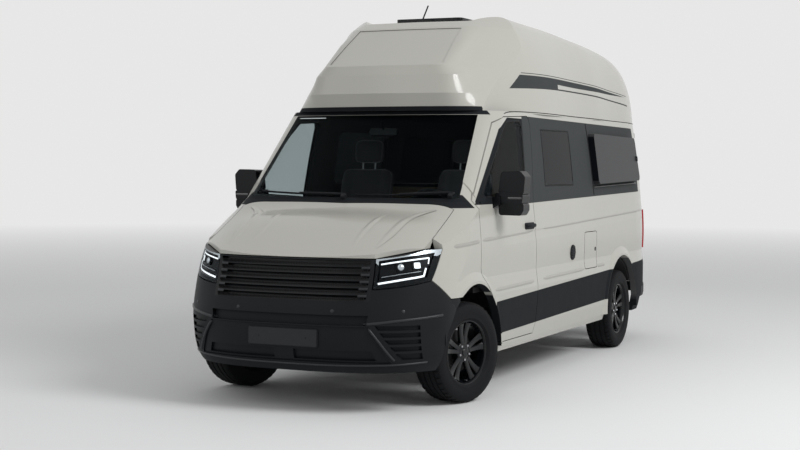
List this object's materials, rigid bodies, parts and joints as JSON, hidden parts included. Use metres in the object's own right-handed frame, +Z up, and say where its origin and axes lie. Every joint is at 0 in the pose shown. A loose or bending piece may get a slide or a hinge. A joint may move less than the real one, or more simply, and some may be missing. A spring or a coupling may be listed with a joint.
{
  "type": "camper van",
  "caption": "High-roof camper van with steered front wheels, hinged cab and rear doors, opening bonnet, roof hatch and furnished living space.",
  "frame": {"origin": "on the ground at mid length, on the centre plane", "axes": "+Z up, the front faces -Y, the vehicle's left is +X"},
  "size_m": [2.4254, 5.9821, 2.971],
  "materials": {
    "body_paint": "warm light grey gloss paint",
    "dark_plastic": "grained dark plastic",
    "gloss_black": "gloss black",
    "lamp_clear": "clear lamp cover",
    "lamp_red": "red lens",
    "window_glass": "tinted glass",
    "tyre": "black rubber",
    "rim": "gloss black alloy",
    "frame_steel": "coated steel",
    "roof_shell": "painted fibre composite",
    "seat_cloth": "dark woven cloth",
    "furniture_wood": "light wood laminate",
    "mattress_cloth": "woven cover",
    "brake_steel": "bare steel"
  },
  "bodies": {
    "body": {"chassis": "frame_steel", "side_wall_left": "body_paint", "side_wall_right": "body_paint", "sliding_door": "body_paint", "cab_frame": "body_paint", "high_roof": "roof_shell", "wings": "body_paint", "front_bumper": "dark_plastic", "grille": "gloss_black", "headlamps": "lamp_clear", "windscreen": "window_glass", "side_windows": "window_glass", "rear_bumper": "dark_plastic", "tail_lamps": "lamp_red", "roof_fittings": "dark_plastic", "axles": "frame_steel", "engine": "frame_steel", "underfloor": "dark_plastic", "dashboard": "dark_plastic", "cab_seats": "seat_cloth", "furniture": "furniture_wood", "mattress": "mattress_cloth"},
    "bonnet": {"bonnet": "body_paint"},
    "door_left": {"door_panel_left": "body_paint", "door_glass_left": "window_glass", "mirror_left": "gloss_black"},
    "rear_leaf_left": {"rear_door_left": "body_paint", "rear_glass_left": "window_glass"},
    "knuckle_left": {"knuckle_left": "brake_steel"},
    "wheel_front_left": {"tyre_front_left": "tyre", "rim_front_left": "rim"},
    "wheel_rear_left": {"tyre_rear_left": "tyre", "rim_rear_left": "rim"},
    "door_right": {"door_panel_right": "body_paint", "door_glass_right": "window_glass", "mirror_right": "gloss_black"},
    "rear_leaf_right": {"rear_door_right": "body_paint", "rear_glass_right": "window_glass"},
    "knuckle_right": {"knuckle_right": "brake_steel"},
    "wheel_front_right": {"tyre_front_right": "tyre", "rim_front_right": "rim"},
    "wheel_rear_right": {"tyre_rear_right": "tyre", "rim_rear_right": "rim"},
    "hatch_lid": {"roof_hatch_lid": "gloss_black"},
    "service_flap": {"service_flap": "body_paint"}
  },
  "joints": [
    {"name": "steer_left", "type": "hinge", "parent": "body", "child": "knuckle_left", "pos_m": [0.8, -2.002, 0.357], "axis": [0, 0, 1], "range_deg": [-22, 54]},
    {"name": "steer_right", "type": "hinge", "parent": "body", "child": "knuckle_right", "pos_m": [-0.8, -2.002, 0.357], "axis": [0, 0, 1], "range_deg": [-22, 54]},
    {"name": "spin_front_left", "type": "hinge", "parent": "knuckle_left", "child": "wheel_front_left", "pos_m": [0.87402, -2.02322, 0.357], "axis": [0.9613, -0.2756, 0], "continuous": true},
    {"name": "spin_front_right", "type": "hinge", "parent": "knuckle_right", "child": "wheel_front_right", "pos_m": [-0.87402, -1.98078, 0.357], "axis": [0.9613, -0.2756, 0], "continuous": true},
    {"name": "spin_rear_left", "type": "hinge", "parent": "body", "child": "wheel_rear_left", "pos_m": [0.877, 1.638, 0.357], "axis": [1, 0, 0], "continuous": true},
    {"name": "spin_rear_right", "type": "hinge", "parent": "body", "child": "wheel_rear_right", "pos_m": [-0.877, 1.638, 0.357], "axis": [1, 0, 0], "continuous": true},
    {"name": "bonnet_hinge", "type": "hinge", "parent": "body", "child": "bonnet", "pos_m": [0, -2.044, 1.414], "axis": [-1, 0, 0], "range_deg": [0, 55]},
    {"name": "cab_door_left", "type": "hinge", "parent": "body", "child": "door_left", "pos_m": [0.997, -1.869, 1], "axis": [0, 0, -1], "range_deg": [0, 72]},
    {"name": "cab_door_right", "type": "hinge", "parent": "body", "child": "door_right", "pos_m": [-0.997, -1.869, 1], "axis": [0, 0, 1], "range_deg": [0, 72]},
    {"name": "rear_door_hinge_left", "type": "hinge", "parent": "body", "child": "rear_leaf_left", "pos_m": [0.8, 2.957, 1.2], "axis": [0, 0, -1], "range_deg": [0, 160]},
    {"name": "rear_door_hinge_right", "type": "hinge", "parent": "body", "child": "rear_leaf_right", "pos_m": [-0.8, 2.957, 1.2], "axis": [0, 0, 1], "range_deg": [0, 160]},
    {"name": "hatch_hinge", "type": "hinge", "parent": "body", "child": "hatch_lid", "pos_m": [0, 0.02, 2.838], "axis": [-1, 0, 0], "range_deg": [0, 55]},
    {"name": "flap_hinge", "type": "hinge", "parent": "body", "child": "service_flap", "pos_m": [0.997, 0.543, 0.95], "axis": [0, 0, -1], "range_deg": [0, 100]}
  ],
  "couplings": [
    {"joint": "steer_right", "follows": "steer_left", "ratio": 1}
  ]
}
